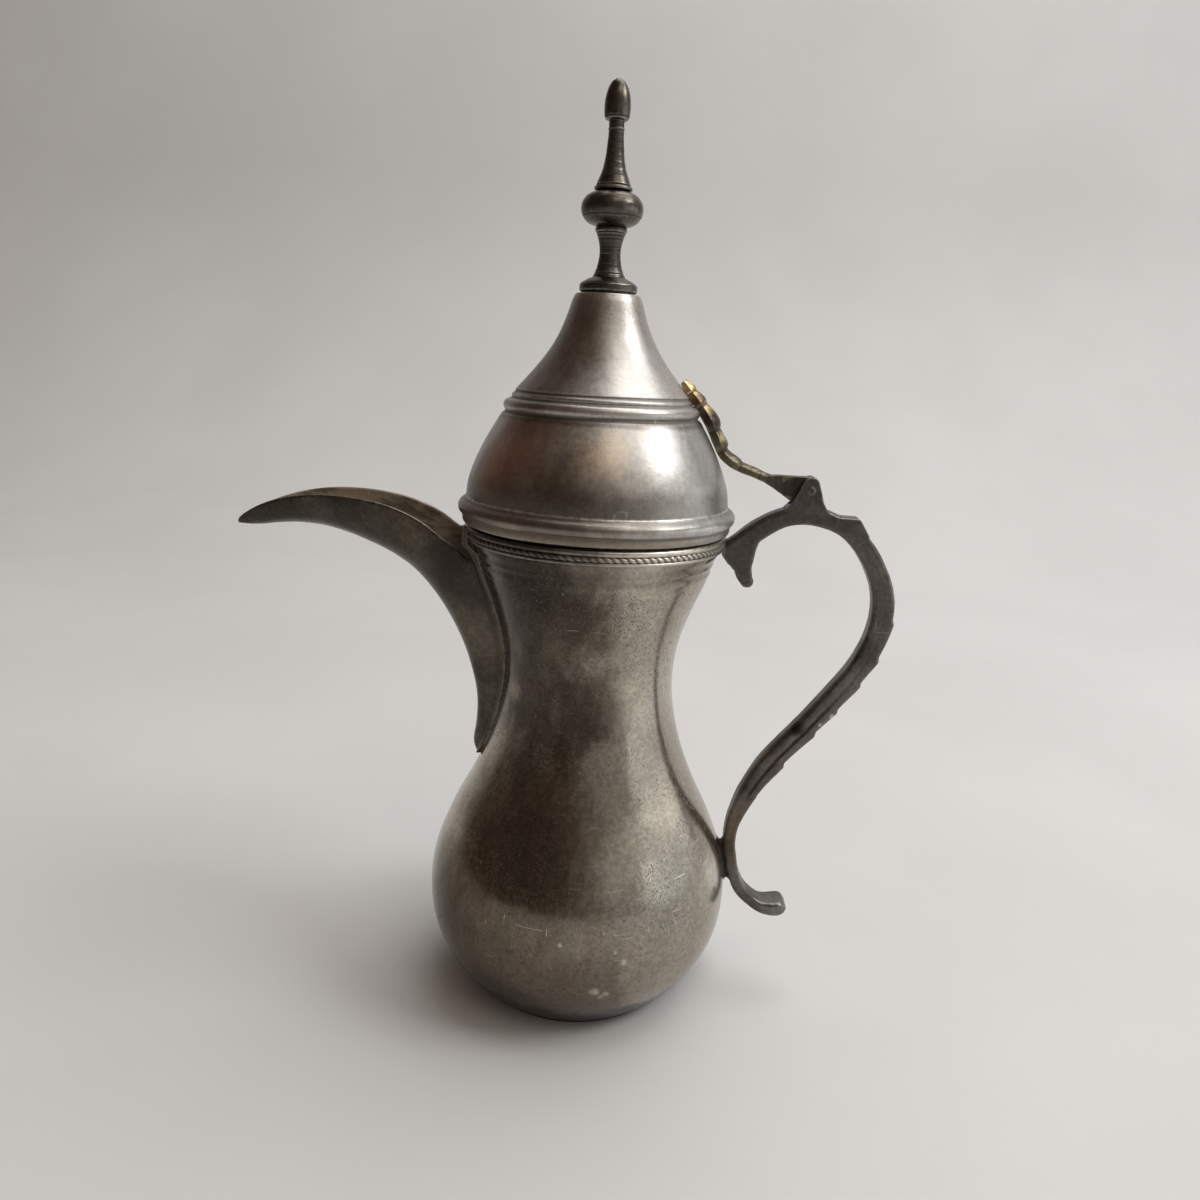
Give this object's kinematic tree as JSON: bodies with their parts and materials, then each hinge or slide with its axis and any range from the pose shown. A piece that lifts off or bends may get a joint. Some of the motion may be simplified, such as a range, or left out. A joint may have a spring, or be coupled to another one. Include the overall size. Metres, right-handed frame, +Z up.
{
  "type": "dallah coffee pot",
  "caption": "Spouted pear-shaped coffee pot in tarnished metal, with a long open beak, a scrolled cast handle and a hinged onion lid under a turned finial.",
  "frame": {"origin": "centre of the foot's underside, on the pot's axis", "axes": "+Z up along the pot's axis; -X towards the spout's tip, +X towards the handle and the lid's hinge; y = 0 is the mirror plane"},
  "size_m": [0.1932, 0.0914, 0.26],
  "materials": {
    "spun_metal": "tarnished silver-grey with a brown patina, satin; alloy not known",
    "cast_metal": "cast, darkened grey-brown, satin; alloy not known",
    "turned_metal": "lathe-turned, dark grey tarnish, satin; alloy not known",
    "worn_brass": "cast, with brass colour showing on the high points",
    "hidden_metal": null
  },
  "bodies": {
    "pot": {"vessel_body": "spun_metal", "base_plate": "hidden_metal", "foot_ring": "spun_metal", "neck_bead": "spun_metal", "rope_wire": "spun_metal", "mouth_ring": "spun_metal", "spout_trough": "cast_metal", "handle": "cast_metal", "handle_foot_pad": "cast_metal", "hinge_pin": "cast_metal"},
    "lid": {"lid_shell": "spun_metal", "lid_bezel": "hidden_metal", "lid_strap": "worn_brass", "finial_disc": "turned_metal", "finial_spool": "turned_metal", "finial_ball": "turned_metal", "finial_stem": "turned_metal", "finial_tip": "turned_metal", "finial_rod": "hidden_metal", "finial_washer": "hidden_metal", "finial_nut": "hidden_metal"}
  },
  "joints": [
    {"name": "lid_hinge", "type": "hinge", "parent": "pot", "child": "lid", "pos_m": [0.06, 0, 0.1569], "axis": [0, 1, 0], "range_deg": [0, 110]}
  ]
}
